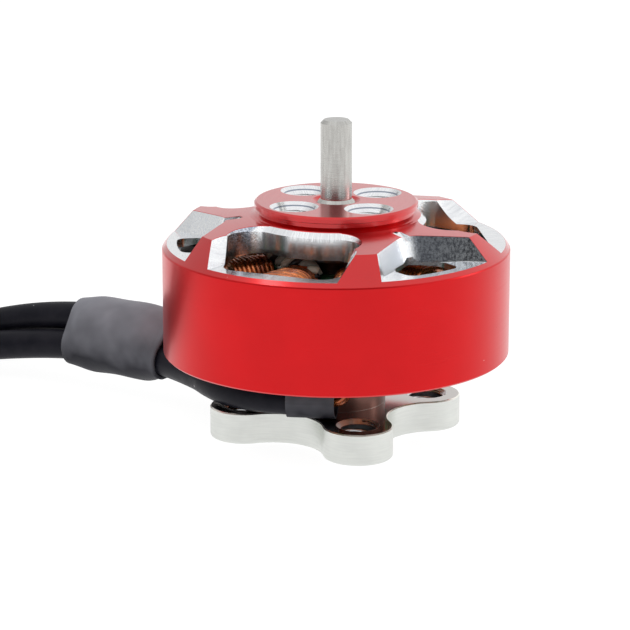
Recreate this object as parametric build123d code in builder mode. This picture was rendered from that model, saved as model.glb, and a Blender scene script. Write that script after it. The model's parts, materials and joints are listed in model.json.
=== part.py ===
"""Small brushless outrunner motor, 13 mm stator, nine slots and twelve magnets.

Millimetres, +Z up along the shaft, origin on the shaft's axis at the underside of the base.
"""
from build123d import *
import os
from math import atan2, cos, degrees, radians, sin, sqrt, tan

# ---------------------------------------------------------------- driving dimensions
BELL_R = 8.30              # outside of the rotor
BELL_BOTTOM = 4.00
BELL_BAND_TOP = 9.10       # where the cylinder turns into the outer cone
CREASE_R = 7.15            # where the outer cone meets the flatter top
CREASE_Z = 10.40
DISK_R = 3.90              # propeller seat
DISK_TOP = 11.37
DISK_LIP = 0.28
DISK_FOOT_R = 4.12
DISK_FOOT_Z = 10.68
SKIRT_R = 7.86             # inside of the skirt
CEILING_Z = 9.45           # underside of the hub plate

SHAFT_R = 0.75
SHAFT_TOP = 15.24
SHAFT_SHOULDER_R = 0.92
SHAFT_BOTTOM = 0.35

STATOR_R = 6.50
STATOR_BOTTOM = 5.05
STATOR_HEIGHT = 3.00
TEETH = 9
FIRST_TOOTH = 2.0          # degrees, counter-clockwise from +X
MAGNETS = 12
MAGNET_IN_R = 6.68
MAGNET_OUT_R = 7.42

TUBE_R = 2.40              # bearing tube
BEARING_R = 2.00
BEARING_WIDTH = 2.00
UPPER_BEARING_Z = 6.85
LOWER_BEARING_Z = 1.20

PLATE_T = 1.52             # arms of the base
ARM_ANGLE = 12.9
BASE_PCD = 9.0
PROP_PCD = 5.0
PROP_ANGLE = 37.2
TAPPED_R = 0.80            # wall of an M2 thread

LEAD_R = 0.75
LEAD_DIRECTION = 148.0     # degrees, the way the three leads leave

ROUNDED_WINDOW_AT = (6.3, 126.3, 246.3)
CHEVRON_WINDOW_AT = (66.9, 186.9, 306.9)

os.makedirs("parts", exist_ok=True)


# ---------------------------------------------------------------- helpers
def save(piece, name):
    """Label one finished piece and write it as its own STEP file."""
    piece.label = name
    export_step(piece, f"parts/{name}.step")


def polar(radius, angle, height=0.0):
    """Point at a radius and an angle in degrees."""
    return (radius * cos(radians(angle)), radius * sin(radians(angle)), height)


def ring(inner, outer, low, high):
    """Plain washer-shaped solid between two heights."""
    with BuildPart() as washer:
        with BuildSketch(Plane.XY.offset(low)):
            Circle(outer)
            Circle(inner, mode=Mode.SUBTRACT)
        extrude(amount=high - low)
    return washer.part


# ---------------------------------------------------------------- bell
BELL_WALL_TOP = 8.90       # ledge that the flux ring stops against
BELL_LEDGE_R = 7.42
DOME_R = 5.90
DOME_Z = 9.20
HUB_BOSS_R = 1.30
HUB_BOSS_Z = 9.05
HUB_SINK_R = 1.15
HUB_SINK_DEPTH = 0.18
GROOVE_R = 3.74

LEDGE_Z = 9.33             # machined ledge inside each window
WALL_R = 4.29              # hub wall of a rounded window
ROUNDED_HALF = 3.22        # half width of its through opening near the hub
ROUNDED_NARROWS_X = 5.25    # where its sides start to close in
ROUNDED_RIM_HALF = 2.62
ROUNDED_RIM_X = 7.17
ROUNDED_CORNER = 1.15
ROUNDED_RIM_CORNER = 0.80
RIM_CUT_Z = 10.43          # where the broken upper edge of a rounded window starts
RIM_CUT_TAPER = 45.0
FACET_AT = (6.50, 2.97)    # a point on the foot of the drafted side facet
FACET_SPLAY = 16.5         # degrees that the facet's foot opens towards the rim
FACET_DRAFT = 33.0
FACET_START = 5.75

CHEVRON_TIP = 5.50
CHEVRON_BEND = (6.80, 2.45)
CHEVRON_RIM = (7.44, 3.08)
CHEVRON_DRAFT = 16.5
CHEVRON_FOLD = 1.10        # radius between the two walls at the ledge
SLOT_TIP = 5.47
SLOT_HALF = 1.45
SLOT_RIM_R = 7.60
SLOT_CORNER = 0.48
PORT_WIDTH = 0.50          # small slot on the middle line of each chevron window
PORT_AT = (4.58, 10.62)    # radius and height of its floor's inner end
PORT_TILT = 20.0
PORT_HOLE_R = 0.09


def bell_blank():
    """Turned blank, before any window or hole is cut."""
    with BuildPart() as blank:
        with BuildSketch(Plane.XZ):
            with BuildLine():
                Polyline(
                    (SHAFT_SHOULDER_R, HUB_BOSS_Z),
                    (SHAFT_SHOULDER_R, DISK_TOP - HUB_SINK_DEPTH),
                    (HUB_SINK_R, DISK_TOP),
                    (DISK_R - 0.10, DISK_TOP),
                    (DISK_R, DISK_TOP - 0.08),
                    (DISK_R, DISK_TOP - DISK_LIP),
                    (GROOVE_R, DISK_TOP - DISK_LIP - 0.06),
                    (GROOVE_R, DISK_FOOT_Z + 0.16),
                    (DISK_FOOT_R - 0.14, DISK_FOOT_Z + 0.04),
                    (DISK_FOOT_R, DISK_FOOT_Z),
                    (CREASE_R, CREASE_Z),
                    (BELL_R - 0.03, BELL_BAND_TOP + 0.03),
                    (BELL_R, BELL_BAND_TOP - 0.03),
                    (BELL_R, BELL_BOTTOM + 0.08),
                    (BELL_R - 0.08, BELL_BOTTOM),
                    (SKIRT_R, BELL_BOTTOM),
                    (SKIRT_R, BELL_WALL_TOP),
                    (BELL_LEDGE_R, BELL_WALL_TOP),
                    (DOME_R, DOME_Z),
                    (DISK_FOOT_R, CEILING_Z),
                    (HUB_BOSS_R, CEILING_Z),
                    (HUB_BOSS_R, HUB_BOSS_Z),
                    close=True,
                )
            make_face()
        revolve(axis=Axis.Z)
    return blank.part


def rounded_opening():
    """Through opening of a rounded window, on +X: a hub arc, sides that close in and a straight rim."""
    hub_x = sqrt(WALL_R**2 - ROUNDED_HALF**2)
    with BuildSketch(mode=Mode.PRIVATE) as outline:
        with BuildLine():
            ThreePointArc((hub_x, -ROUNDED_HALF), (WALL_R, 0), (hub_x, ROUNDED_HALF))
            Polyline(
                (hub_x, ROUNDED_HALF),
                (ROUNDED_NARROWS_X, ROUNDED_HALF),
                (ROUNDED_RIM_X, ROUNDED_RIM_HALF),
                (ROUNDED_RIM_X, -ROUNDED_RIM_HALF),
                (ROUNDED_NARROWS_X, -ROUNDED_HALF),
                (hub_x, -ROUNDED_HALF),
            )
        make_face()
        fillet(outline.vertices().group_by(Axis.X)[0], ROUNDED_CORNER)
        fillet(outline.vertices().group_by(Axis.X)[-1], ROUNDED_RIM_CORNER)
    return outline.sketch


def rounded_rim_cut():
    """Broken upper edge of a rounded window."""
    with BuildPart(mode=Mode.PRIVATE) as cut:
        with BuildSketch(Plane.XY.offset(RIM_CUT_Z)):
            add(rounded_opening())
        extrude(amount=0.5, taper=-RIM_CUT_TAPER)
    return cut.part


def rounded_side_cut():
    """Drafted side facets of a rounded window above the ledge, open towards the rim."""
    foot_x, foot_y = FACET_AT
    splay = tan(radians(FACET_SPLAY))
    start_y = foot_y - (foot_x - FACET_START) * splay
    end_x = BELL_R + 1.5
    end_y = foot_y + (end_x - foot_x) * splay
    with BuildPart(mode=Mode.PRIVATE) as cut:
        with BuildSketch(Plane.XY.offset(LEDGE_Z)) as foot:
            Polygon(
                (FACET_START, -start_y),
                (end_x, -end_y),
                (end_x, end_y),
                (FACET_START, start_y),
                align=None,
            )
            fillet(foot.vertices().group_by(Axis.X)[0], 0.45)
        extrude(amount=1.6, taper=-FACET_DRAFT)
    return cut.part


def chevron_cut():
    """Drafted pocket of a chevron window above the ledge, open towards the rim."""
    bend_x, bend_y = CHEVRON_BEND
    rim_x, rim_y = CHEVRON_RIM
    end_x = BELL_R + 1.5
    end_y = rim_y + (end_x - rim_x) * (rim_y - bend_y) / (rim_x - bend_x)
    with BuildPart(mode=Mode.PRIVATE) as cut:
        with BuildSketch(Plane.XY.offset(LEDGE_Z)) as foot:
            Polygon(
                (CHEVRON_TIP, 0),
                (bend_x, -bend_y),
                (end_x, -end_y),
                (end_x, end_y),
                (bend_x, bend_y),
                align=None,
            )
            fillet(foot.vertices().group_by(Axis.X)[0], CHEVRON_FOLD)
        extrude(amount=1.8, taper=-CHEVRON_DRAFT)
    return cut.part


def chevron_slot():
    """Through slot in the ledge of a chevron window."""
    bend_x, bend_y = CHEVRON_BEND
    side_x = SLOT_TIP + SLOT_HALF * (bend_x - CHEVRON_TIP) / bend_y
    rim_x = sqrt(SLOT_RIM_R**2 - SLOT_HALF**2)
    with BuildPart(mode=Mode.PRIVATE) as slot:
        with BuildSketch(Plane.XY.offset(8.0)) as outline:
            with BuildLine():
                Polyline((rim_x, -SLOT_HALF), (side_x, -SLOT_HALF), (SLOT_TIP, 0))
                Polyline((SLOT_TIP, 0), (side_x, SLOT_HALF), (rim_x, SLOT_HALF))
                ThreePointArc((rim_x, SLOT_HALF), (SLOT_RIM_R, 0), (rim_x, -SLOT_HALF))
            make_face()
            fillet(outline.vertices(), SLOT_CORNER)
        extrude(amount=LEDGE_Z + 0.3 - 8.0)
    return slot.part


def port_slot():
    """Round-ended slot, deeper outwards, that runs out into the tip of a chevron window."""
    start_x, start_z = PORT_AT
    run = 2.2
    floor = Plane((start_x, 0, start_z), x_dir=(1, 0, 0)).rotated((0, PORT_TILT, 0))
    with BuildPart(mode=Mode.PRIVATE) as port:
        with BuildSketch(floor):
            with Locations((run / 2, 0)):
                SlotCenterToCenter(run, PORT_WIDTH)
        extrude(amount=1.2)
        with Locations((start_x - 0.02, 0, start_z - 0.3)):
            Cylinder(PORT_HOLE_R, 1.0)
    return port.part


with BuildPart() as bell:
    add(bell_blank())
    with BuildSketch(Plane.XY.offset(8.0)):
        for angle in ROUNDED_WINDOW_AT:
            add(rounded_opening().rotate(Axis.Z, angle))
    extrude(amount=4.0, mode=Mode.SUBTRACT)
    for angle in ROUNDED_WINDOW_AT:
        add(rounded_rim_cut().rotate(Axis.Z, angle), mode=Mode.SUBTRACT)
        add(rounded_side_cut().rotate(Axis.Z, angle), mode=Mode.SUBTRACT)
    for angle in CHEVRON_WINDOW_AT:
        add(chevron_cut().rotate(Axis.Z, angle), mode=Mode.SUBTRACT)
        add(chevron_slot().rotate(Axis.Z, angle), mode=Mode.SUBTRACT)
        add(port_slot().rotate(Axis.Z, angle), mode=Mode.SUBTRACT)
    with Locations(Plane.XY.offset(DISK_TOP)):
        with PolarLocations(PROP_PCD / 2, 4, start_angle=PROP_ANGLE):
            CounterSinkHole(TAPPED_R, 1.15, depth=3.0, counter_sink_angle=90)
save(bell.part, "bell")

# ---------------------------------------------------------------- flux ring and magnets
FLUX_RING_BOTTOM = 4.20
MAGNET_BOTTOM = 4.50
MAGNET_TOP = 8.70
MAGNET_SPAN = 25.0         # degrees covered by one magnet

save(ring(MAGNET_OUT_R, SKIRT_R, FLUX_RING_BOTTOM, BELL_WALL_TOP), "flux_ring")

for index in range(MAGNETS):
    middle = index * 360 / MAGNETS
    first = middle - MAGNET_SPAN / 2
    last = middle + MAGNET_SPAN / 2
    with BuildPart() as magnet:
        with BuildSketch(Plane.XY.offset(MAGNET_BOTTOM)):
            with BuildLine():
                ThreePointArc(
                    polar(MAGNET_IN_R, first), polar(MAGNET_IN_R, middle), polar(MAGNET_IN_R, last)
                )
                Line(polar(MAGNET_IN_R, last), polar(MAGNET_OUT_R, last))
                ThreePointArc(
                    polar(MAGNET_OUT_R, last), polar(MAGNET_OUT_R, middle), polar(MAGNET_OUT_R, first)
                )
                Line(polar(MAGNET_OUT_R, first), polar(MAGNET_IN_R, first))
            make_face()
        extrude(amount=MAGNET_TOP - MAGNET_BOTTOM)
    save(magnet.part, f"magnet_{index + 1:02d}")

# ---------------------------------------------------------------- shaft, shims and clip
SHAFT_TIP_CHAMFER = 0.15
SHOULDER_TOP = 11.28
FLARE_TOP = 11.45
CLIP_GROOVE_R = 0.50
CLIP_LOW = 0.74
CLIP_HIGH = 0.98
SHIM_R = 1.05
SHAFT_JOURNAL_R = 0.75

with BuildPart() as shaft:
    with BuildSketch(Plane.XZ):
        with BuildLine():
            Polyline(
                (0, SHAFT_BOTTOM),
                (SHAFT_JOURNAL_R - 0.1, SHAFT_BOTTOM),
                (SHAFT_JOURNAL_R, SHAFT_BOTTOM + 0.1),
                (SHAFT_JOURNAL_R, CLIP_LOW),
                (CLIP_GROOVE_R, CLIP_LOW),
                (CLIP_GROOVE_R, CLIP_HIGH),
                (SHAFT_JOURNAL_R, CLIP_HIGH),
                (SHAFT_JOURNAL_R, HUB_BOSS_Z),
                (SHAFT_SHOULDER_R, HUB_BOSS_Z),
                (SHAFT_SHOULDER_R, SHOULDER_TOP),
                (SHAFT_R, FLARE_TOP),
                (SHAFT_R, SHAFT_TOP - SHAFT_TIP_CHAMFER),
                (SHAFT_R - SHAFT_TIP_CHAMFER, SHAFT_TOP),
                (0, SHAFT_TOP),
                close=True,
            )
        make_face()
    revolve(axis=Axis.Z)
save(shaft.part, "shaft")

UPPER_BEARING_TOP = UPPER_BEARING_Z + BEARING_WIDTH
save(ring(SHAFT_JOURNAL_R, SHIM_R, UPPER_BEARING_TOP, HUB_BOSS_Z), "upper_shim")
save(ring(SHAFT_JOURNAL_R, SHIM_R, CLIP_HIGH, LOWER_BEARING_Z), "lower_shim")

with BuildPart() as shaft_clip:
    with BuildSketch(Plane.XY.offset(CLIP_LOW)):
        Circle(1.45)
        Circle(CLIP_GROOVE_R, mode=Mode.SUBTRACT)
        with Locations((1.0, 0)):
            Rectangle(1.2, 0.80, mode=Mode.SUBTRACT)
        with PolarLocations(0.86, 2, start_angle=118, angular_range=124):
            Circle(0.20, mode=Mode.SUBTRACT)
    extrude(amount=CLIP_HIGH - CLIP_LOW)
save(shaft_clip.part, "shaft_clip")

# ---------------------------------------------------------------- bearings
BALL_R = 0.38
BALL_COUNT = 7
BALL_PITCH_R = 1.375
RACE_GROOVE_R = 0.40
INNER_RACE_R = 1.10
OUTER_RACE_R = 1.65
SHIELD_T = 0.10
SHIELD_INSET = 0.06
CAGE_LOW = 0.12            # above the plane of the balls
CAGE_HIGH = 0.46

for place, low in (("upper", UPPER_BEARING_Z), ("lower", LOWER_BEARING_Z)):
    middle = low + BEARING_WIDTH / 2
    high = low + BEARING_WIDTH
    with BuildPart() as groove_torus:
        with Locations((0, 0, middle)):
            Torus(BALL_PITCH_R, RACE_GROOVE_R)
    with BuildPart() as inner_race:
        add(ring(SHAFT_JOURNAL_R, INNER_RACE_R, low, high))
        add(groove_torus.part, mode=Mode.SUBTRACT)
    save(inner_race.part, f"{place}_bearing_inner_race")
    with BuildPart() as outer_race:
        add(ring(OUTER_RACE_R, BEARING_R, low, high))
        add(groove_torus.part, mode=Mode.SUBTRACT)
    save(outer_race.part, f"{place}_bearing_outer_race")
    with BuildPart() as shields:
        add(ring(INNER_RACE_R + 0.05, OUTER_RACE_R, low + SHIELD_INSET, low + SHIELD_INSET + SHIELD_T))
        add(ring(INNER_RACE_R + 0.05, OUTER_RACE_R, high - SHIELD_INSET - SHIELD_T, high - SHIELD_INSET))
    save(shields.part, f"{place}_bearing_shields")
    with BuildPart() as balls:
        with Locations((0, 0, middle)):
            with PolarLocations(BALL_PITCH_R, BALL_COUNT):
                Sphere(BALL_R)
    save(balls.part, f"{place}_bearing_balls")
    with BuildPart() as cage:
        add(ring(BALL_PITCH_R - 0.17, BALL_PITCH_R + 0.17, middle + CAGE_LOW, middle + CAGE_HIGH))
        with Locations((0, 0, middle)):
            with PolarLocations(BALL_PITCH_R, BALL_COUNT):
                Sphere(BALL_R + 0.025, mode=Mode.SUBTRACT)
    save(cage.part, f"{place}_bearing_cage")

# ---------------------------------------------------------------- base
ARM_END_R = 1.66
WEB_MID_R = 3.30
SEAT_R = 2.90
SEAT_LOW = 4.72
COUNTERBORE_R = 2.60
COUNTERBORE_DEPTH = 0.85
TUBE_LEDGE_R = 1.78

arm_r = BASE_PCD / 2
half = radians(45)
scallop_at = (arm_r**2 - (ARM_END_R - WEB_MID_R) ** 2) / (2 * (arm_r * cos(half) - WEB_MID_R + ARM_END_R))
scallop_r = scallop_at - WEB_MID_R
to_scallop = degrees(
    atan2(scallop_at * sin(half), scallop_at * cos(half) - arm_r)
)

with BuildPart() as base:
    with BuildSketch():
        with BuildLine():
            for quarter in range(4):
                angle = ARM_ANGLE + 90 * quarter
                centre = Vector(*polar(arm_r, angle))
                first = centre + Vector(*polar(ARM_END_R, angle - to_scallop))
                last = centre + Vector(*polar(ARM_END_R, angle + to_scallop))
                following = Vector(*polar(arm_r, angle + 90))
                landing = following + Vector(*polar(ARM_END_R, angle + 90 - to_scallop))
                ThreePointArc(first, polar(arm_r + ARM_END_R, angle), last)
                ThreePointArc(last, polar(WEB_MID_R, angle + 45), landing)
        make_face()
    extrude(amount=PLATE_T)
    fillet(base.edges().group_by(Axis.Z)[0], 0.14)
    chamfer(base.edges().group_by(Axis.Z)[-1], 0.06)
    with BuildSketch(Plane.XY.offset(PLATE_T)):
        Circle(TUBE_R)
    extrude(amount=UPPER_BEARING_TOP - PLATE_T)
    with BuildSketch(Plane.XY.offset(SEAT_LOW)):
        Circle(SEAT_R)
    extrude(amount=STATOR_BOTTOM - SEAT_LOW)
    with BuildSketch(Plane.XZ):
        with BuildLine():
            Polyline(
                (0, 0),
                (COUNTERBORE_R, 0),
                (COUNTERBORE_R - 0.05, COUNTERBORE_DEPTH),
                (BEARING_R, COUNTERBORE_DEPTH),
                (BEARING_R, LOWER_BEARING_Z + BEARING_WIDTH),
                (TUBE_LEDGE_R, LOWER_BEARING_Z + BEARING_WIDTH),
                (TUBE_LEDGE_R, UPPER_BEARING_Z),
                (BEARING_R, UPPER_BEARING_Z),
                (BEARING_R, UPPER_BEARING_TOP),
                (0, UPPER_BEARING_TOP),
                close=True,
            )
        make_face()
    revolve(axis=Axis.Z, mode=Mode.SUBTRACT)
    with Locations(Plane.XY.offset(PLATE_T)):
        with PolarLocations(BASE_PCD / 2, 4, start_angle=ARM_ANGLE):
            CounterSinkHole(TAPPED_R, 1.02, depth=PLATE_T, counter_sink_angle=90)
save(base.part, "base")

# ---------------------------------------------------------------- stator core, insulators and coils
TOOTH_HALF = 0.55
YOKE_R = 3.20
TIP_IN_R = 5.95
TIP_HALF_ANGLE = 17.0
INSULATOR_T = 0.25
COIL_IN_R = 3.40
COIL_OUT_R = 5.82
COIL_IN_HALF = 1.06
COIL_OUT_HALF = 1.72
COIL_OVERHANG = 0.95       # beyond the core at each end
STATOR_TOP = STATOR_BOTTOM + STATOR_HEIGHT


def stator_plate(low, high, bore, outer, tooth_half):
    """Toothed ring: a yoke, teeth and their curved tips."""
    with BuildPart(mode=Mode.PRIVATE) as plate:
        with BuildSketch(Plane.XY.offset(low)):
            Circle(YOKE_R)
            for tooth in range(TEETH):
                angle = FIRST_TOOTH + tooth * 360 / TEETH
                with BuildLine():
                    first = angle - TIP_HALF_ANGLE
                    last = angle + TIP_HALF_ANGLE
                    ThreePointArc(polar(outer, first), polar(outer, angle), polar(outer, last))
                    Line(polar(outer, last), polar(TIP_IN_R + 0.15, last))
                    Line(polar(TIP_IN_R + 0.15, last), polar(TIP_IN_R, angle + 7))
                    Line(polar(TIP_IN_R, angle + 7), polar(TIP_IN_R, angle - 7))
                    Line(polar(TIP_IN_R, angle - 7), polar(TIP_IN_R + 0.15, first))
                    Line(polar(TIP_IN_R + 0.15, first), polar(outer, first))
                make_face()
                with Locations(Location(polar((YOKE_R + TIP_IN_R) / 2, angle), (0, 0, angle))):
                    Rectangle(TIP_IN_R - YOKE_R + 0.8, 2 * tooth_half)
            Circle(bore, mode=Mode.SUBTRACT)
        extrude(amount=high - low)
    return plate.part


with BuildPart() as stator_core:
    add(stator_plate(STATOR_BOTTOM, STATOR_TOP, TUBE_R, STATOR_R, TOOTH_HALF))
save(stator_core.part, "stator_core")

with BuildPart() as insulator_top:
    add(stator_plate(STATOR_TOP, STATOR_TOP + INSULATOR_T, TUBE_R + 0.05, STATOR_R - 0.08, TOOTH_HALF))
save(insulator_top.part, "insulator_top")

with BuildPart() as insulator_bottom:
    add(stator_plate(STATOR_BOTTOM - INSULATOR_T, STATOR_BOTTOM, SEAT_R, STATOR_R - 0.08, TOOTH_HALF))
save(insulator_bottom.part, "insulator_bottom")

for tooth in range(TEETH):
    angle = FIRST_TOOTH + tooth * 360 / TEETH
    with BuildPart() as coil:
        with BuildSketch(Plane.XY.offset(STATOR_BOTTOM - COIL_OVERHANG)):
            Polygon(
                (COIL_IN_R, -COIL_IN_HALF),
                (COIL_OUT_R, -COIL_OUT_HALF),
                (COIL_OUT_R, COIL_OUT_HALF),
                (COIL_IN_R, COIL_IN_HALF),
                align=None,
            )
        extrude(amount=STATOR_HEIGHT + 2 * COIL_OVERHANG)
        top_sides = coil.edges().group_by(Axis.Z)[-1].filter_by(Axis.Y, reverse=True)
        low_sides = coil.edges().group_by(Axis.Z)[0].filter_by(Axis.Y, reverse=True)
        fillet(top_sides + low_sides, 0.45)
        with Locations((4.6, 0, (STATOR_BOTTOM + STATOR_TOP) / 2)):
            Box(4.0, 2 * TOOTH_HALF, STATOR_HEIGHT + 2 * INSULATOR_T, mode=Mode.SUBTRACT)
    save(coil.part.rotate(Axis.Z, angle), f"coil_{tooth + 1}")

# ---------------------------------------------------------------- phase tails, joints and leads
JOINT_SLEEVE_R = 0.85
JOINT_BACK = 0.75          # sleeve length over the tail
JOINT_AHEAD = 1.55         # sleeve length over the lead
TAIL_R = 0.27
TAIL_RUN = 1.25            # horizontal run of a tail into its lead
TIP_R = 0.50
TIP_LENGTH = 3.00
SLEEVE_IN_R = 1.74
SLEEVE_OUT_R = 1.92
SLEEVE_FROM = 10.2
SLEEVE_TO = 15.2
SLEEVE_Z = 2.72


def along(distance, aside, height):
    """Point given by its distance along the leads' direction and its offset to the left."""
    way = radians(LEAD_DIRECTION)
    return Vector(
        distance * cos(way) - aside * sin(way),
        distance * sin(way) + aside * cos(way),
        height,
    )


def route_radii(points):
    """Largest arcs that the runs allow: 0.45 of the shorter run over the tangent of half the turn."""
    radii = []
    for before, corner, after in zip(points, points[1:], points[2:]):
        into = corner - before
        out = after - corner
        turn = radians(into.get_angle(out))
        radii.append(0.45 * min(into.length, out.length) / tan(turn / 2))
    return radii


def tube(points, radius):
    """Solid round tube along straight runs joined by tangent arcs."""
    with BuildPart(mode=Mode.PRIVATE) as swept:
        with BuildLine() as route:
            FilletPolyline(*points, radius=route_radii(points))
        with BuildSketch(Plane(origin=points[0], z_dir=points[1] - points[0])):
            Circle(radius)
        sweep(path=route.wires()[0])
    print(f"tube of {route.wires()[0].length:.2f} mm, radii", [round(value, 1) for value in route_radii(points)])
    return swept.part


LEAD_ROUTES = {
    1: (
        Vector(-0.75, -3.50, 2.46),
        Vector(-3.40, -3.08, 2.44),
        Vector(-5.55, -1.35, 2.40),
        Vector(-6.67, 1.40, 2.34),
        along(10.3, 0.80, 2.29),
        along(14.6, 0.76, 2.28),
        along(19.2, 1.20, 1.70),
        along(24.4, 2.90, 0.80),
        along(29.3, 5.90, 0.75),
        along(33.6, 9.90, 0.75),
        along(37.6, 14.60, 0.75),
        along(41.0, 19.40, 0.75),
    ),
    2: (
        along(4.95, 0.42, 2.46),
        along(7.00, 0.22, 2.56),
        along(10.5, 0.00, 3.60),
        along(14.9, 0.02, 3.57),
        along(19.4, -0.05, 2.80),
        along(24.8, 0.90, 1.05),
        along(30.2, 2.90, 0.75),
        along(35.5, 5.90, 0.75),
        along(40.5, 9.50, 0.75),
        along(45.1, 13.20, 0.75),
    ),
    3: (
        Vector(-0.85, 3.95, 2.46),
        Vector(-3.10, 4.00, 2.44),
        along(7.60, -1.68, 2.38),
        along(10.3, -0.80, 2.29),
        along(14.8, -0.77, 2.28),
        along(19.5, -1.50, 1.80),
        along(24.8, -2.10, 0.80),
        along(30.3, -1.70, 0.75),
        along(35.6, -0.20, 0.75),
        along(40.6, 2.40, 0.75),
        along(45.2, 5.60, 0.75),
    ),
}

for number, points in LEAD_ROUTES.items():
    start = points[0]
    level = Vector(points[1].X - start.X, points[1].Y - start.Y, 0).normalized()
    save(tube(points, LEAD_R), f"lead_wire_{number}")
    end = points[-1]
    outward = (points[-1] - points[-2]).normalized()
    with BuildPart() as lead_tip:
        with BuildSketch(Plane(origin=end, z_dir=outward)):
            Circle(TIP_R)
        extrude(amount=TIP_LENGTH)
        fillet(lead_tip.edges().sort_by_distance(end)[-1], 0.12)
    save(lead_tip.part, f"lead_tip_{number}")
    first_run = (points[1] - start).normalized()
    with BuildPart() as joint_sleeve:
        with BuildSketch(Plane(origin=start - first_run * JOINT_BACK, z_dir=first_run)):
            Circle(JOINT_SLEEVE_R)
            Circle(LEAD_R, mode=Mode.SUBTRACT)
        extrude(amount=JOINT_BACK + JOINT_AHEAD)
    save(joint_sleeve.part, f"joint_sleeve_{number}")
    coil_under = Vector(start.X, start.Y, STATOR_BOTTOM - COIL_OVERHANG) - level * TAIL_RUN
    elbow = start - first_run * TAIL_RUN
    save(tube((coil_under, Vector(coil_under.X, coil_under.Y, elbow.Z), start), TAIL_R), f"phase_tail_{number}")

with BuildPart() as lead_sleeve:
    sleeve_start = along(SLEEVE_FROM, 0, SLEEVE_Z)
    with BuildSketch(Plane(origin=sleeve_start, z_dir=along(1, 0, 0))):
        Circle(SLEEVE_OUT_R)
        Circle(SLEEVE_IN_R, mode=Mode.SUBTRACT)
    extrude(amount=SLEEVE_TO - SLEEVE_FROM)
save(lead_sleeve.part, "lead_sleeve")
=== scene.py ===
"""Looks of the small brushless outrunner motor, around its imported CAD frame.

Blender works in metres here; MM turns the object's own millimetres into them.
"""
import json
import random
from math import cos, pi, radians, sin, tau

import bmesh
import bpy
from mathutils import Matrix, Vector


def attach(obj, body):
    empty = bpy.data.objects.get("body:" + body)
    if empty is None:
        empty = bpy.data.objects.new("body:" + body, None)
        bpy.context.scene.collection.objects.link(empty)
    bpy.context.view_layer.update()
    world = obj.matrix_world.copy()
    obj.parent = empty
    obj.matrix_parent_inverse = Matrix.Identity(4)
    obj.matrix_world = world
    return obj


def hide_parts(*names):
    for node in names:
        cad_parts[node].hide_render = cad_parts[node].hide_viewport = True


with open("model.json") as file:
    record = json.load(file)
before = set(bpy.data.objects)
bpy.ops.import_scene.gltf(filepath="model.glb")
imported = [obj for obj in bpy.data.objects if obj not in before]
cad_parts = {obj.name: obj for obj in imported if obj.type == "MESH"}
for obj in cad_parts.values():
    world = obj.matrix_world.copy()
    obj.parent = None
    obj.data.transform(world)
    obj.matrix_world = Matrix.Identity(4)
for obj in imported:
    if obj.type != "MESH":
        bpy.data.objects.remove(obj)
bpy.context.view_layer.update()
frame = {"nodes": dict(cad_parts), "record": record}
MM = 0.001
nodes = frame["nodes"]
scene = bpy.context.scene
random.seed(7)

# ---------------------------------------------------------------- sizes shared with the design, mm
BELL_R, SKIRT_R = 8.30, 7.86
BAND_TOP = 9.10
CREASE_R, CREASE_Z = 7.15, 10.40
DISK_TOP = 11.37
DISK_FOOT_R, DISK_FOOT_Z = 4.12, 10.68
LEDGE_Z = 9.33              # floor of the windows' pockets
CHEVRON_AT = 306.9          # middle of one chevron window, degrees
PROP_PCD, PROP_ANGLE = 5.0, 37.2
BASE_PCD, ARM_ANGLE = 9.0, 12.9
PLATE_T = 1.52              # arms of the base
TAPPED_R = 0.80             # wall of a tapped hole
COUNTERSINK_R = 1.15        # rim of a hub hole's countersink

LEAD_R, LEAD_DIRECTION = 0.75, 148.0

TEETH, FIRST_TOOTH = 9, 2.0
COIL_IN_R, COIL_OUT_R = 3.40, 5.82
COIL_IN_HALF, COIL_OUT_HALF = 1.06, 1.72
COIL_LOW, COIL_HIGH = 4.10, 9.00

# ---------------------------------------------------------------- sizes of the pieces made here, mm
WIRE_R = 0.125
STRAND_R = 0.19
THREAD_PITCH, THREAD_CREST = 0.40, 0.075

SLEEVE_FROM, SLEEVE_TO = 9.25, 15.2
SLEEVE_NECK = 1.7           # length over which the sleeve's ends close in on the leads


# ---------------------------------------------------------------- helpers
def polar(radius, angle, height=0.0):
    """Point in mm at a radius and an angle in degrees."""
    return Vector((radius * cos(radians(angle)), radius * sin(radians(angle)), height))


def along(distance, aside, height):
    """Point in mm by its distance along the leads' direction and its offset to the left."""
    way = radians(LEAD_DIRECTION)
    return Vector(
        (distance * cos(way) - aside * sin(way), distance * sin(way) + aside * cos(way), height)
    )


def hole_circle(diameter, first):
    """Centres in mm of four holes on a circle."""
    return [polar(diameter / 2, first + 90 * quarter) for quarter in range(4)]


PROP_HOLES = hole_circle(PROP_PCD, PROP_ANGLE)
BASE_HOLES = hole_circle(BASE_PCD, ARM_ANGLE)


def mesh_piece(name, shape, material, body):
    """Turn a bmesh in mm into a smooth piece that rides on a body."""
    bmesh.ops.recalc_face_normals(shape, faces=shape.faces)
    bmesh.ops.scale(shape, vec=(MM, MM, MM), verts=shape.verts)
    data = bpy.data.meshes.new(name)
    shape.to_mesh(data)
    shape.free()
    for face in data.polygons:
        face.use_smooth = True
    piece = bpy.data.objects.new(name, data)
    scene.collection.objects.link(piece)
    data.materials.append(material)
    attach(piece, body)
    return piece


def add_loft(shape, sections, closed=False):
    """Add a skin over equal rings of points, capped at its ends unless it closes on itself."""
    rings = [[shape.verts.new(point) for point in section] for section in sections]
    count = len(rings[0])
    for one, two in zip(rings, rings[1:] + rings[:1] if closed else rings[1:]):
        for k in range(count):
            shape.faces.new((one[k], one[(k + 1) % count], two[(k + 1) % count], two[k]))
    if not closed:
        shape.faces.new(rings[0])
        shape.faces.new(rings[-1])


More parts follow.
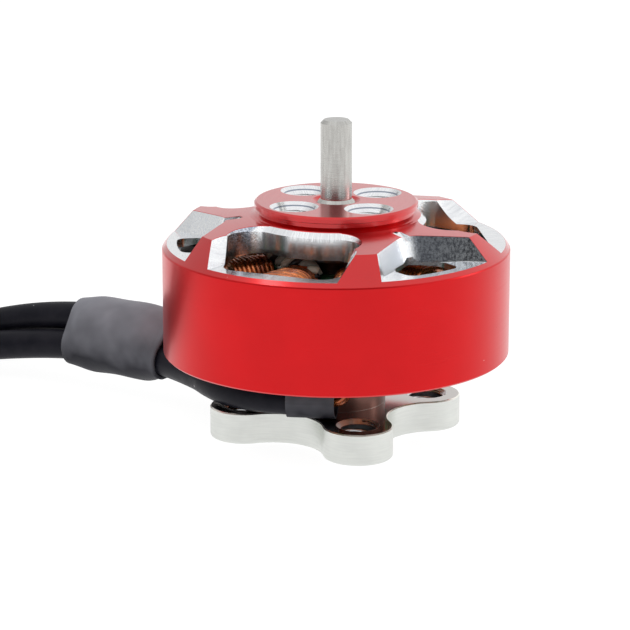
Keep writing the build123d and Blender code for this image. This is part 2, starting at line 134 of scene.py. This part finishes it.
def add_tube(shape, points, radius, sides=8):
    """Add a round tube that follows a list of points, with capped ends."""
    sections = []
    side = None
    for index, point in enumerate(points):
        before = points[max(index - 1, 0)]
        after = points[min(index + 1, len(points) - 1)]
        forward = (after - before).normalized()
        if side is None:
            side = forward.orthogonal().normalized()
        side = (side - forward * side.dot(forward)).normalized()
        other = forward.cross(side)
        section = []
        for k in range(sides):
            turn = tau * k / sides
            section.append(point + radius * (cos(turn) * side + sin(turn) * other))
        sections.append(section)
    add_loft(shape, sections)


# ---------------------------------------------------------------- node helpers
class Tree:
    """Small helper for building nodes."""

    def __init__(self, tree):
        self.tree = tree

    def node(self, kind, **settings):
        made = self.tree.nodes.new(kind)
        for key, value in settings.items():
            setattr(made, key, value)
        return made

    def link(self, source, target):
        self.tree.links.new(source, target)

    def put(self, socket, value):
        """Link a socket or set a constant."""
        if isinstance(value, bpy.types.NodeSocket):
            self.link(value, socket)
        else:
            socket.default_value = value

    def math(self, operation, a, b=0.0, c=0.0):
        made = self.node("ShaderNodeMath", operation=operation)
        for socket, value in zip(made.inputs, (a, b, c)):
            self.put(socket, value)
        return made.outputs[0]

    def every(self, *masks):
        """Product of several masks."""
        result = masks[0]
        for mask in masks[1:]:
            result = self.math("MULTIPLY", result, mask)
        return result

    def either(self, *masks):
        """Largest of several masks."""
        result = masks[0]
        for mask in masks[1:]:
            result = self.math("MAXIMUM", result, mask)
        return result

    def position(self):
        """Object-space position in mm."""
        coordinates = self.node("ShaderNodeTexCoord")
        scaled = self.node("ShaderNodeVectorMath", operation="SCALE")
        self.link(coordinates.outputs["Object"], scaled.inputs[0])
        scaled.inputs["Scale"].default_value = 1 / MM
        return scaled.outputs[0]

    def axes(self, vector):
        """The x, y and z of a vector."""
        parts = self.node("ShaderNodeSeparateXYZ")
        self.link(vector, parts.inputs[0])
        return tuple(parts.outputs)

    def combine(self, x, y, z):
        made = self.node("ShaderNodeCombineXYZ")
        for socket, value in zip(made.inputs, (x, y, z)):
            self.put(socket, value)
        return made.outputs[0]

    def turned(self, x, y):
        """Radius and angle of a point about the shaft's axis."""
        square = self.math("MULTIPLY_ADD", x, x, self.math("MULTIPLY", y, y))
        return self.math("SQRT", square), self.math("ARCTAN2", y, x)

    def to_nearest(self, x, y, places):
        """Distance on plan from a point to the nearest of several places."""
        flat = self.combine(x, y, 0.0)
        nearest = None
        for place in places:
            away = self.node("ShaderNodeVectorMath", operation="DISTANCE")
            self.link(flat, away.inputs[0])
            away.inputs[1].default_value = place
            distance = away.outputs["Value"]
            nearest = distance if nearest is None else self.math("MINIMUM", nearest, distance)
        return nearest

    def stretched(self, vector, scale):
        made = self.node("ShaderNodeMapping")
        self.link(vector, made.inputs["Vector"])
        made.inputs["Scale"].default_value = scale
        return made.outputs[0]

    def noise(self, vector, scale, detail=3.0, roughness=0.5):
        made = self.node("ShaderNodeTexNoise")
        self.link(vector, made.inputs["Vector"])
        made.inputs["Scale"].default_value = scale
        made.inputs["Detail"].default_value = detail
        made.inputs["Roughness"].default_value = roughness
        return made.outputs["Fac"]

    def specks(self, vector, scale, size, share):
        """Sparse round dust specks: 1 on a speck."""
        cells = self.node("ShaderNodeTexVoronoi")
        self.link(vector, cells.inputs["Vector"])
        cells.inputs["Scale"].default_value = scale
        pick = self.node("ShaderNodeSeparateColor")
        self.link(cells.outputs["Color"], pick.inputs[0])
        chosen = self.math("GREATER_THAN", pick.outputs[0], 1 - share)
        reach = self.math("MULTIPLY", pick.outputs[1], size)
        near = self.math("LESS_THAN", cells.outputs["Distance"], reach)
        return self.every(chosen, near)

    def span(self, value, low, high, to_low=0.0, to_high=1.0, ease="LINEAR"):
        """Number that goes from to_low to to_high while a value goes from low to high."""
        made = self.node("ShaderNodeMapRange", clamp=True, interpolation_type=ease)
        self.link(value, made.inputs["Value"])
        made.inputs["From Min"].default_value = low
        made.inputs["From Max"].default_value = high
        made.inputs["To Min"].default_value = to_low
        made.inputs["To Max"].default_value = to_high
        return made.outputs["Result"]

    def mix(self, factor, a, b):
        """Colour between a and b."""
        made = self.node("ShaderNodeMix", data_type="RGBA")
        self.put(made.inputs["Factor"], factor)
        self.put(made.inputs[6], a)
        self.put(made.inputs[7], b)
        return made.outputs[2]

    def blend(self, factor, a, b):
        """Number between a and b."""
        made = self.node("ShaderNodeMix", data_type="FLOAT")
        self.put(made.inputs["Factor"], factor)
        self.put(made.inputs[2], a)
        self.put(made.inputs[3], b)
        return made.outputs[0]

    def bump(self, height, depth, strength):
        """Normal for a height field whose full range is depth mm deep."""
        made = self.node("ShaderNodeBump")
        self.link(height, made.inputs["Height"])
        made.inputs["Distance"].default_value = depth * MM
        self.put(made.inputs["Strength"], strength)
        return made.outputs[0]


class Look(Tree):
    """Nodes of a new material."""

    def __init__(self, name):
        self.material = bpy.data.materials.new(name)
        self.material.use_nodes = True
        super().__init__(self.material.node_tree)
        self.shader = self.tree.nodes["Principled BSDF"]

    def finish(self, **values):
        """Set the shader's own sockets, named with underscores."""
        for key, value in values.items():
            self.put(self.shader.inputs[key.replace("_", " ")], value)
        return self.material


def rgb(red, green, blue):
    return (red, green, blue, 1.0)


# ---------------------------------------------------------------- materials
def machined(name, colour, roughness, grain=6.0, depth=0.0004):
    """Turned or ground metal: fine rings round the shaft's axis with a little variation."""
    t = Look(name)
    vector = t.position()
    x, y, z = t.axes(vector)
    radius, angle = t.turned(x, y)
    rings = t.combine(t.math("MULTIPLY", radius, 9.0), t.math("MULTIPLY", z, 9.0), angle)
    lathe = t.noise(rings, 3.0, 3.0)
    cloud = t.noise(vector, grain * 0.2, 3.0)
    shade = [channel * 0.84 for channel in colour[:3]] + [1.0]
    return t.finish(
        Base_Color=t.mix(t.span(cloud, 0.3, 0.7), colour, shade),
        Metallic=1.0,
        Roughness=t.span(lathe, 0.25, 0.75, roughness * 0.8, roughness * 1.25),
        Normal=t.bump(lathe, depth, 0.6),
    )


def bell_material():
    """Red anodised turned surfaces, and bare bright metal wherever a cutter went through them."""
    t = Look("anodised_bell")
    vector = t.position()
    x, y, z = t.axes(vector)
    radius, angle = t.turned(x, y)
    near = 0.02

    def above(value, limit):
        return t.math("GREATER_THAN", value, limit)

    def below(value, limit):
        return t.math("LESS_THAN", value, limit)

    def on_line(r0, z0, r1, z1):
        """1 on the turned surface between two points of the bell's profile."""
        slope = (z1 - z0) / (r1 - r0)
        line = t.math("MULTIPLY_ADD", radius, slope, z0 - slope * r0)
        close = below(t.math("ABSOLUTE", t.math("SUBTRACT", z, line)), near)
        return t.every(close, above(radius, r0 - near), below(radius, r1 + near))

    # what is still anodised: the flat top, the cone, the skirt, and the hub outside its countersinks
    top = on_line(DISK_FOOT_R, DISK_FOOT_Z, CREASE_R, CREASE_Z)
    cone = on_line(CREASE_R, CREASE_Z, BELL_R - 0.03, BAND_TOP + 0.03)
    skirt = t.every(above(radius, SKIRT_R - 0.06), below(z, BAND_TOP + 0.04))
    hub = t.every(
        below(radius, DISK_FOOT_R + 0.01),
        above(z, DISK_FOOT_Z - 0.005),
        above(t.to_nearest(x, y, PROP_HOLES), COUNTERSINK_R + 0.005),
    )
    red = t.either(top, cone, skirt, hub)

    # the lathe's lines run round the axis on every turned surface
    rings = t.combine(
        t.math("MULTIPLY", radius, 12.0), t.math("MULTIPLY", z, 12.0), t.math("MULTIPLY", angle, 0.6)
    )
    lathe = t.noise(rings, 2.4, 4.0, 0.6)
    grain = t.noise(vector, 26.0, 2.0)
    dust = t.specks(vector, 1.6, 0.08, 0.03)
    cloud = t.noise(vector, 0.35, 2.0)
    anodised = t.mix(t.span(cloud, 0.3, 0.7), rgb(0.66, 0.003, 0.006), rgb(0.60, 0.0025, 0.005))
    anodised = t.mix(t.math("MULTIPLY", dust, 0.65), anodised, rgb(0.75, 0.62, 0.58))

    # where the bare metal lies: in a chevron window, on its torn wall, or in the hub's countersinks
    third = t.math("MULTIPLY", t.math("SUBTRACT", angle, radians(CHEVRON_AT)), 3.0)
    across = t.math("SINE", third)
    inward = t.math("COSINE", third)
    in_hub = t.every(below(radius, DISK_FOOT_R), above(z, DISK_FOOT_Z - 0.2))
    chevron = t.every(t.span(inward, -0.05, 0.05), t.math("SUBTRACT", 1.0, in_hub))
    far_wall = t.every(t.span(across, 0.10, 0.30), t.span(inward, 0.16, 0.20))
    torn = t.every(chevron, far_wall, above(z, LEDGE_Z + 0.02))

    # upright streaks in the rounded windows, a crawled finish in the chevrons, pits on the torn wall whose
    # colour holds painted pit shade and painted glints
    upright = t.combine(t.math("MULTIPLY", angle, 60.0), t.math("MULTIPLY", z, 0.9), radius)
    streak = t.noise(upright, 1.0, 4.0, 0.65)
    sparkle = t.noise(vector, 10.0, 3.0, 0.7)
    glints = t.noise(t.stretched(vector, (1.0, 1.0, 0.8)), 9.0, 5.0, 0.8)
    brushed = t.mix(t.span(streak, 0.35, 0.7), rgb(0.90, 0.91, 0.92), rgb(0.72, 0.73, 0.76))
    crawled = t.mix(t.span(sparkle, 0.4, 0.7), rgb(0.95, 0.96, 0.96), rgb(0.78, 0.81, 0.86))
    # painted shade and painted glints: near-black and near-white speckle on the torn wall, more of it
    # towards the rim
    pits_and_painted_glints = t.mix(t.span(glints, 0.40, 0.56), rgb(0.06, 0.065, 0.085), rgb(0.92, 0.96, 1.0))
    pits_and_painted_glints = t.mix(t.span(radius, 5.2, 7.2, 0.40, 0.95), rgb(0.42, 0.47, 0.58), pits_and_painted_glints)
    bare = t.mix(torn, t.mix(chevron, brushed, crawled), pits_and_painted_glints)

    # painted shade: a dark ring round each countersink, in colour only, standing in for the shadow of the
    # first thread groove
    ring_z, ring_half = DISK_TOP - 0.17, 0.028
    groove_shade_ring = below(t.math("ABSOLUTE", t.math("SUBTRACT", z, ring_z)), ring_half)
    bare = t.mix(t.every(in_hub, groove_shade_ring, 0.85), bare, rgb(0.13, 0.16, 0.24))

    streaked = t.span(streak, 0.3, 0.7, 0.10, 0.24)
    sparkling = t.span(sparkle, 0.3, 0.7, 0.12, 0.26)
    turned = t.bump(t.blend(0.35, lathe, grain), 0.0011, 0.7)
    tooling = t.blend(chevron, streak, sparkle)
    cut = t.bump(tooling, 0.010, t.math("MULTIPLY_ADD", chevron, 0.84, 0.10))
    facing = t.node("ShaderNodeMix", data_type="VECTOR")
    t.put(facing.inputs["Factor"], red)
    t.link(cut, facing.inputs[4])
    t.link(turned, facing.inputs[5])
    return t.finish(
        Base_Color=t.mix(red, bare, anodised),
        Metallic=t.blend(red, 1.0, t.math("SUBTRACT", 0.9, t.math("MULTIPLY", dust, 0.8))),
        Roughness=t.blend(red, t.blend(chevron, streaked, sparkling), t.span(lathe, 0.2, 0.8, 0.26, 0.34)),
        Normal=facing.outputs[1],
        Coat_Weight=t.blend(skirt, 0.85, 0.20),
        Coat_IOR=1.6,
        Coat_Roughness=0.14,
    )


def base_material():
    """Milled aluminium: satin sides with tool lines, smooth tops, a painted highlight on the top edge's
    chamfer, a tube painted dark red-brown as reflection and shade, and holes with painted shade in their
    bores.
    """
    t = Look("milled_aluminium")
    vector = t.position()
    x, y, z = t.axes(vector)
    lines = t.noise(t.stretched(vector, (0.35, 0.35, 7.0)), 2.2, 4.0, 0.6)
    cloud = t.noise(vector, 0.8, 3.0)
    grain = t.noise(vector, 24.0, 2.0)

    top_z, edge_z, bore_z, hole_r = PLATE_T - 0.01, PLATE_T - 0.065, PLATE_T - 0.20, 1.03
    polished = t.math("GREATER_THAN", z, top_z)
    edge = t.every(t.math("GREATER_THAN", z, edge_z), t.math("LESS_THAN", z, top_z))
    tube = t.math("GREATER_THAN", z, PLATE_T + 0.003)
    hole = t.math("LESS_THAN", t.to_nearest(x, y, BASE_HOLES), hole_r)

    side = t.mix(t.span(lines, 0.3, 0.7), rgb(0.76, 0.775, 0.74), rgb(0.70, 0.715, 0.685))
    side = t.mix(t.span(cloud, 0.35, 0.75, 0.0, 0.5), side, rgb(0.62, 0.635, 0.61))
    # painted highlight: the top edge's chamfer is coloured bright cream
    side = t.mix(edge, side, rgb(0.93, 0.91, 0.84))
    # painted reflection and shade: the tube's colour is dark red-brown for the red bell and copper over it
    top = t.mix(tube, rgb(0.60, 0.56, 0.53), rgb(0.15, 0.075, 0.062))
    # painted shade: the bore below the countersink is dark grey, its rim bright
    bore = t.mix(t.math("LESS_THAN", z, bore_z), rgb(0.92, 0.93, 0.93), rgb(0.13, 0.13, 0.135))
    satin = t.span(lines, 0.2, 0.8, 0.30, 0.42)
    smooth = t.blend(tube, 0.10, 0.27)
    return t.finish(
        Base_Color=t.mix(hole, t.mix(polished, side, top), bore),
        Metallic=1.0,
        Roughness=t.blend(hole, t.blend(polished, satin, smooth), 0.36),
        Normal=t.bump(t.blend(0.4, lines, grain), 0.0022, t.blend(polished, 0.8, 0.12)),
    )


def shaft_material():
    """Ground steel with fine rings, slow bands along its length and a few dark specks."""
    t = Look("ground_shaft")
    vector = t.position()
    x, y, z = t.axes(vector)
    radius, angle = t.turned(x, y)
    around = t.combine(t.math("MULTIPLY", z, 22.0), t.math("MULTIPLY", angle, 0.8), radius)
    upright = t.combine(t.math("MULTIPLY", angle, 3.2), t.math("MULTIPLY", z, 0.5), 0.0)
    rings = t.noise(around, 1.0, 4.0, 0.6)
    strokes = t.noise(upright, 1.6, 3.0)
    spots = t.specks(vector, 2.6, 0.07, 0.10)
    body = t.mix(t.span(strokes, 0.35, 0.7), rgb(0.56, 0.555, 0.53), rgb(0.44, 0.43, 0.41))
    return t.finish(
        Base_Color=t.mix(t.math("MULTIPLY", spots, 0.8), body, rgb(0.10, 0.09, 0.09)),
        Metallic=1.0,
        Roughness=t.span(rings, 0.25, 0.75, 0.20, 0.32),
        Normal=t.bump(rings, 0.0012, 0.6),
    )


def copper_material():
    """Enamelled copper wire: glossy varnish over warm metal, darker where the varnish is thick."""
    t = Look("enamelled_copper")
    vector = t.position()
    cloud = t.noise(vector, 1.3, 3.0)
    fine = t.noise(vector, 9.0, 3.0)
    warm = t.mix(t.span(cloud, 0.35, 0.65), rgb(0.74, 0.22, 0.060), rgb(0.34, 0.075, 0.022))
    return t.finish(
        Base_Color=t.mix(t.span(fine, 0.58, 0.8), warm, rgb(0.14, 0.035, 0.014)),
        Metallic=0.85,
        Roughness=t.span(fine, 0.2, 0.8, 0.2, 0.34),
        Normal=t.bump(fine, 0.006, 0.4),
        Coat_Weight=0.6,
        Coat_Roughness=0.07,
    )


def lamination_material():
    """Stack of thin electrical sheets under a dark varnish."""
    t = Look("laminations")
    vector = t.position()
    sheet = t.math("PINGPONG", t.axes(vector)[2], 0.10)
    fine = t.noise(vector, 7.0, 3.0)
    return t.finish(
        Base_Color=t.mix(t.span(fine, 0.3, 0.7), rgb(0.10, 0.10, 0.105), rgb(0.05, 0.05, 0.055)),
        Metallic=0.6,
        Roughness=t.span(fine, 0.2, 0.8, 0.3, 0.5),
        Normal=t.bump(sheet, 0.12, 0.8),
    )


def dull(name, colour, worn, roughness, scale, depth, dust=0.0, gloss=0.5, painted_top_light=None):
    """Rubber, shrink tube or coating: fine relief, faint patches, some dust, and painted light that makes
    it paler towards its top.
    """
    t = Look(name)
    vector = t.position()
    relief = t.noise(vector, scale, 4.0, 0.6)
    patch = t.noise(vector, scale * 0.12, 3.0)
    colours = t.mix(t.span(patch, 0.4, 0.75), colour, worn)
    if dust:
        spots = t.specks(vector, 2.2, 0.13, dust)
        colours = t.mix(t.math("MULTIPLY", spots, 0.8), colours, rgb(0.45, 0.43, 0.44))
    # painted light: the colour turns paler towards the top, with cloudy noise, as where light falls from
    # above
    if painted_top_light:
        low, high, pale = painted_top_light
        height = t.math("SUBTRACT", t.axes(vector)[2], 1.2)
        cloudy = t.math("MULTIPLY_ADD", t.noise(vector, 0.55, 2.0), 2.4, height)
        colours = t.mix(t.span(cloudy, low, high), colours, pale)
    return t.finish(
        Base_Color=colours,
        Roughness=t.span(patch, 0.3, 0.7, roughness * 0.85, roughness * 1.15),
        Specular_IOR_Level=gloss,
        Normal=t.bump(relief, depth, 0.7),
    )


LOOKS = {
    "anodised_red": bell_material(),
    "flux_steel": machined("flux_steel", rgb(0.42, 0.42, 0.43), 0.35),
    "magnet_nickel": machined("magnet_nickel", rgb(0.55, 0.54, 0.52), 0.22, grain=14.0),
    "shaft_steel": shaft_material(),
    "clip_steel": machined("clip_steel", rgb(0.26, 0.26, 0.27), 0.32),
    "race_steel": machined("race_steel", rgb(0.66, 0.66, 0.67), 0.16),
    "shield_steel": machined("shield_steel", rgb(0.58, 0.58, 0.58), 0.28),
    "ball_steel": machined("ball_steel", rgb(0.75, 0.75, 0.76), 0.05, depth=0.0001),
    "cage_steel": machined("cage_steel", rgb(0.66, 0.52, 0.28), 0.32),
    "base_aluminium": base_material(),
    "lamination_steel": lamination_material(),
    "insulator_green": dull(
        "insulator_green", rgb(0.02, 0.17, 0.075), rgb(0.035, 0.22, 0.11), 0.35, 9.0, 0.01
    ),
    "copper_enamel": copper_material(),
    "lead_silicone": dull(
        "lead_silicone",
        rgb(0.006, 0.006, 0.011),
        rgb(0.014, 0.013, 0.019),
        0.45,
        11.0,
        0.006,
        dust=0.22,
        gloss=0.12,
    ),
    "heat_shrink": dull(
        "heat_shrink",
        rgb(0.012, 0.012, 0.018),
        rgb(0.022, 0.021, 0.030),
        0.55,
        6.0,
        0.012,
        dust=0.05,
        gloss=0.15,
        # painted light: the sleeve turns paler towards its top
        painted_top_light=(1.8, 4.4, rgb(0.26, 0.26, 0.29)),
    ),
    "tinned_copper": machined("tinned_copper", rgb(0.68, 0.67, 0.65), 0.3, grain=20.0),
}
for part in frame["record"]["subparts"]:
    shown = nodes[part["node"]]
    shown.data.materials.clear()
    shown.data.materials.append(LOOKS[part["material_slot"]])


# ---------------------------------------------------------------- camera
CAMERA_AT = (-1.007, -131.19, 40.96)
CAMERA_TILT = 15.05         # degrees below level
CAMERA_LENS = 161.6


def make_camera():
    """Long lens in front of the motor, looking a little down on it."""
    data = bpy.data.cameras.new("camera")
    data.lens = CAMERA_LENS
    data.sensor_width = 36.0
    data.clip_start = 0.005
    data.clip_end = 5.0
    camera = bpy.data.objects.new("camera", data)
    camera.location = [distance * MM for distance in CAMERA_AT]
    camera.rotation_euler = (radians(90 - CAMERA_TILT), 0, 0)
    scene.collection.objects.link(camera)
    scene.camera = camera


make_camera()

# ---------------------------------------------------------------- leads
LEAD_ROUTES = {
    1: (
        Vector((-0.75, -3.50, 2.46)),
        Vector((-3.40, -3.08, 2.44)),
        Vector((-5.55, -1.35, 2.40)),
        Vector((-6.67, 1.40, 2.34)),
        along(10.3, 0.80, 2.29),
        along(14.6, 0.76, 2.28),
        along(19.2, 1.20, 1.70),
        along(24.4, 2.90, 0.80),
        along(29.3, 5.90, 0.75),
        along(33.6, 9.90, 0.75),
        along(37.6, 14.60, 0.75),
        along(41.0, 19.40, 0.75),
    ),
    2: (
        along(4.95, 0.42, 2.46),
        along(7.00, 0.22, 2.56),
        along(10.5, 0.00, 3.60),
        along(14.9, 0.02, 3.57),
        along(19.4, -0.05, 2.80),
        along(24.8, 0.90, 1.05),
        along(30.2, 2.90, 0.75),
        along(35.5, 5.90, 0.75),
        along(40.5, 9.50, 0.75),
        along(45.1, 13.20, 0.75),
    ),
    3: (
        Vector((-0.85, 3.95, 2.46)),
        Vector((-3.10, 4.00, 2.44)),
        along(7.60, -1.68, 2.38),
        along(10.3, -0.80, 2.29),
        along(14.8, -0.77, 2.28),
        along(19.5, -1.50, 1.80),
        along(24.8, -2.10, 0.80),
        along(30.3, -1.70, 0.75),
        along(35.6, -0.20, 0.75),
        along(40.6, 2.40, 0.75),
        along(45.2, 5.60, 0.75),
    ),
}


def make_lead(number, points):
    """Make one silicone lead, a smooth curve controlled by its route, and return its middle line in mm."""
    data = bpy.data.curves.new(f"lead_{number}", "CURVE")
    data.dimensions = "3D"
    data.bevel_resolution = 6
    data.resolution_u = 24
    data.use_fill_caps = True
    spline = data.splines.new("NURBS")
    spline.points.add(len(points) - 1)
    for control, point in zip(spline.points, points):
        control.co = (*(point * MM), 1.0)
    spline.order_u = 3
    spline.use_endpoint_u = True
    lead = bpy.data.objects.new(f"lead_{number}", data)
    scene.collection.objects.link(lead)
    line = bpy.data.meshes.new_from_object(lead)
    middle_line = [vertex.co / MM for vertex in line.vertices]
    bpy.data.meshes.remove(line)
    data.bevel_depth = LEAD_R * MM
    data.materials.append(LOOKS["lead_silicone"])
    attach(lead, "stator")
    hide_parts(f"lead_wire_{number}")
    return middle_line


LEAD_LINES = [make_lead(number, route) for number, route in LEAD_ROUTES.items()]


# ---------------------------------------------------------------- shrink sleeve round the leads
def crossing(line, distance):
    """Offset to the left and height at which a lead passes a distance along the leads' direction."""
    way = along(1.0, 0.0, 0.0)
    left = along(0.0, 1.0, 0.0)
    for one, two in zip(line, line[1:]):
        start, stop = one.dot(way), two.dot(way)
        if start <= distance <= stop:
            point = one.lerp(two, (distance - start) / (stop - start))
            return Vector((point.dot(left), point.z))
    raise ValueError("the lead doesn't pass this distance")


def make_sleeve():
    """Shrunk tube that is taut round the three leads at its open ends and fuller between them."""
    full, wall, slack, far_opening, ripple = 1.93, 0.17, 0.03, 0.25, 0.02
    sides, steps = 56, 30
    outer = []
    inner = []
    for step in range(steps + 1):
        distance = SLEEVE_FROM + step / steps * (SLEEVE_TO - SLEEVE_FROM)
        leads = [crossing(line, distance) for line in LEAD_LINES]
        middle = sum(leads, Vector((0.0, 0.0))) / 3
        from_start = (distance - SLEEVE_FROM) / SLEEVE_NECK
        from_end = (SLEEVE_TO - distance) / SLEEVE_NECK + far_opening
        fullness = min(1.0, from_start, from_end)
        share = fullness * fullness * (3 - 2 * fullness)
        wave = ripple * sin(2.6 * distance)
        for rings, skin in ((outer, wall), (inner, 0.0)):
            ring = []
            for k in range(sides):
                turn = tau * k / sides
                out = Vector((cos(turn), sin(turn)))
                taut = max(leads, key=out.dot) + out * (LEAD_R + slack + skin)
                loose = middle + out * (full - wall + skin + wave * cos(2 * turn))
                point = taut.lerp(loose, share)
                ring.append(along(distance, point.x, point.y))
            rings.append(ring)
    shape = bmesh.new()
    add_loft(shape, outer + inner[::-1], closed=True)
    piece = mesh_piece("shrink_sleeve", shape, LOOKS["heat_shrink"], "stator")
    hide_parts("lead_sleeve")


make_sleeve()


# ---------------------------------------------------------------- wound coils
def coil_half(u):
    """Half width of a coil's envelope at a distance from the shaft's axis."""
    share = (u - COIL_IN_R) / (COIL_OUT_R - COIL_IN_R)
    return COIL_IN_HALF + share * (COIL_OUT_HALF - COIL_IN_HALF)


def loop_point(u, turn, inset, angle):
    """Point on a rounded loop round a tooth, at a distance from the axis, inset from the envelope."""
    aside, upward = cos(turn), sin(turn)
    flat_sides, flat_ends = 0.55, 0.62
    half_height = (COIL_HIGH - COIL_LOW) / 2 - inset
    v = (coil_half(u) - inset) * abs(aside) ** flat_sides * (1 if aside > 0 else -1)
    rise = half_height * abs(upward) ** flat_ends * (1 if upward > 0 else -1)
    height = (COIL_LOW + COIL_HIGH) / 2 + rise
    return Matrix.Rotation(radians(angle), 3, "Z") @ Vector((u, v, height))


def make_coil(number, angle):
    """One coil: a spiral of single turns wound over a closed inner layer."""
    shape = bmesh.new()
    turns, steps, sides = 9, 40, 32
    first, last = COIL_IN_R + WIRE_R, COIL_OUT_R - WIRE_R
    pitch = (last - first) / turns
    looseness = [random.uniform(0.0, 0.07) for _ in range(turns + 2)]
    lean = random.uniform(-0.05, 0.05)
    points = []
    for step in range(turns * steps + 1):
        progress = step / steps
        turn = tau * progress
        whole = int(progress)
        slack = looseness[whole] + (looseness[whole + 1] - looseness[whole]) * (progress - whole)
        u = first + pitch * progress + lean * sin(turn)
        u = min(max(u, first), last)
        points.append(loop_point(u, turn, WIRE_R + slack, angle))
    add_tube(shape, points, WIRE_R)
    under = [
        [loop_point(u, tau * k / sides, 2.2 * WIRE_R, angle) for k in range(sides)]
        for u in (first, (first + last) / 2, last)
    ]
    add_loft(shape, under)
    piece = mesh_piece(f"winding_{number}", shape, LOOKS["copper_enamel"], "stator")
    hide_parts(f"coil_{number}")


for tooth in range(TEETH):
    make_coil(tooth + 1, FIRST_TOOTH + tooth * 360 / TEETH)


# ---------------------------------------------------------------- star point of the winding
def make_star_point():
    """The phases' joined ends: three insulated strands twisted together on the stator's hub ring."""
    strands = {
        "cream": rgb(0.92, 0.86, 0.72),
        "grey": rgb(0.46, 0.48, 0.43),
        "black": rgb(0.012, 0.012, 0.014),
    }
    first, last, steps = 176.0, 256.0, 72
    height, ring_r, bow, flare = 8.90, 3.02, 0.16, 0.55
    mean_r, lay = 3.1, 1.35
    turns = radians(last - first) * mean_r / lay
    for number, (name, colour) in enumerate(strands.items()):
        points = []
        for step in range(steps + 1):
            share = step / steps
            radius = ring_r + bow * sin(pi * share) + flare * max(0.0, share - 0.78) / 0.22
            start_drop = 0.30 * max(0.0, 0.12 - share) / 0.12
            end_drop = 0.35 * (max(0.0, share - 0.85) / 0.15) ** 2
            angle = first + (last - first) * share
            centre = polar(radius, angle, height - end_drop - start_drop)
            twist = tau * (share * turns + number / 3)
            out = cos(twist) * polar(1.0, angle) + sin(twist) * Vector((0, 0, 1))
            points.append(centre + STRAND_R * out)
        shape = bmesh.new()
        add_tube(shape, points, STRAND_R, sides=10)
        worn = rgb(*(channel * 0.7 for channel in colour[:3]))
        look = dull(f"strand_{name}", colour, worn, 0.3, 9.0, 0.01)
        mesh_piece(f"star_point_{name}", shape, look, "stator")


make_star_point()


# ---------------------------------------------------------------- threads in the tapped holes
def make_threads(name, places, low, high, sink_from, body):
    """Helical thread crests on the wall of each tapped hole, running out through its countersink."""
    flank, flat, root, end, steps = 0.11, 0.02, 0.02, 0.06, 28
    turns = (high - low - 2 * end) / THREAD_PITCH

    def wall(height):
        """Radius of the hole's wall, which opens at 45 degrees in the countersink."""
        return TAPPED_R + max(0.0, height - sink_from)

    shape = bmesh.new()
    for place in places:
        sections = []
        for step in range(int(turns * steps) + 1):
            progress = step / steps
            height = low + end + THREAD_PITCH * progress
            fade = min(1.0, progress, turns - progress)
            tip = wall(height) - THREAD_CREST * max(fade, 0.02)
            profile = (
                (wall(height + flank) + root, flank),
                (tip, flat),
                (tip, -flat),
                (wall(height - flank) + root, -flank),
            )
            turn = tau * progress
            out = Vector((cos(turn), sin(turn), 0.0))
            middle = Vector((place.x, place.y, height))
            sections.append([middle + out * reach + Vector((0, 0, rise)) for reach, rise in profile])
        add_loft(shape, sections)
    mesh_piece(name, shape, BRIGHT_THREAD, body)


BRIGHT_THREAD = machined("cut_thread", rgb(0.84, 0.85, 0.86), 0.16)
make_threads(
    "hub_threads", PROP_HOLES, 9.55, DISK_TOP - 0.06, DISK_TOP - 0.35, "rotor"
)
make_threads(
    "base_threads", BASE_HOLES, 0.06, PLATE_T - 0.05, PLATE_T - 0.22, "stator"
)


# ---------------------------------------------------------------- floor and light
def make_floor():
    """Flat white floor that glows, so that it stays white right up to the object."""
    grid = bmesh.new()
    bmesh.ops.create_grid(grid, x_segments=8, y_segments=8, size=0.9)
    data = bpy.data.meshes.new("floor")
    grid.to_mesh(data)
    grid.free()
    floor = bpy.data.objects.new("floor", data)
    floor.location = (0, 0.3, -0.02 * MM)
    t = Look("floor_white")
    paper = t.noise(t.position(), 0.02, 2.0)
    floor.data.materials.append(
        t.finish(
            Base_Color=t.mix(paper, rgb(0.12, 0.12, 0.12), rgb(0.125, 0.125, 0.125)),
            Roughness=0.9,
            Emission_Color=rgb(1, 1, 1),
            Emission_Strength=0.95,
        )
    )
    scene.collection.objects.link(floor)


def area_light(name, place, size, radiance):
    """Rectangular softbox that faces the object, with its brightness given as radiance."""
    data = bpy.data.lights.new(name, "AREA")
    data.shape = "RECTANGLE"
    data.size, data.size_y = size
    data.energy = radiance * pi * size[0] * size[1]
    light = bpy.data.objects.new(name, data)
    light.location = place
    aim = Vector((0, 0, 0.007)) - Vector(place)
    light.rotation_euler = aim.to_track_quat("-Z", "Y").to_euler()
    scene.collection.objects.link(light)


def make_world():
    """Light tent: dim at the left, bright at the right and overhead, dark where it is open in front."""
    world = bpy.data.worlds.new("studio")
    scene.world = world
    world.use_nodes = True
    t = Tree(world.node_tree)
    x, y, z = t.axes(t.node("ShaderNodeTexCoord").outputs["Generated"])
    sides = t.span(x, -0.9, 0.9, 0.64, 1.05, ease="SMOOTHSTEP")
    opening = t.span(y, -0.85, -0.35, 1.0, 0.0, ease="SMOOTHSTEP")
    overhead = t.span(z, 0.45, 0.95, ease="SMOOTHSTEP")
    background = world.node_tree.nodes["Background"]
    t.put(background.inputs["Strength"], t.blend(overhead, t.blend(opening, sides, 0.14), 1.0))
    t.put(background.inputs["Color"], rgb(0.99, 0.995, 1.0))


make_floor()
make_world()
area_light("key", (-0.10, -0.06, 0.16), (0.05, 0.05), 3.0)
area_light("fill", (0.16, 0.02, 0.05), (0.04, 0.08), 1.8)
scene.view_settings.view_transform = "Standard"
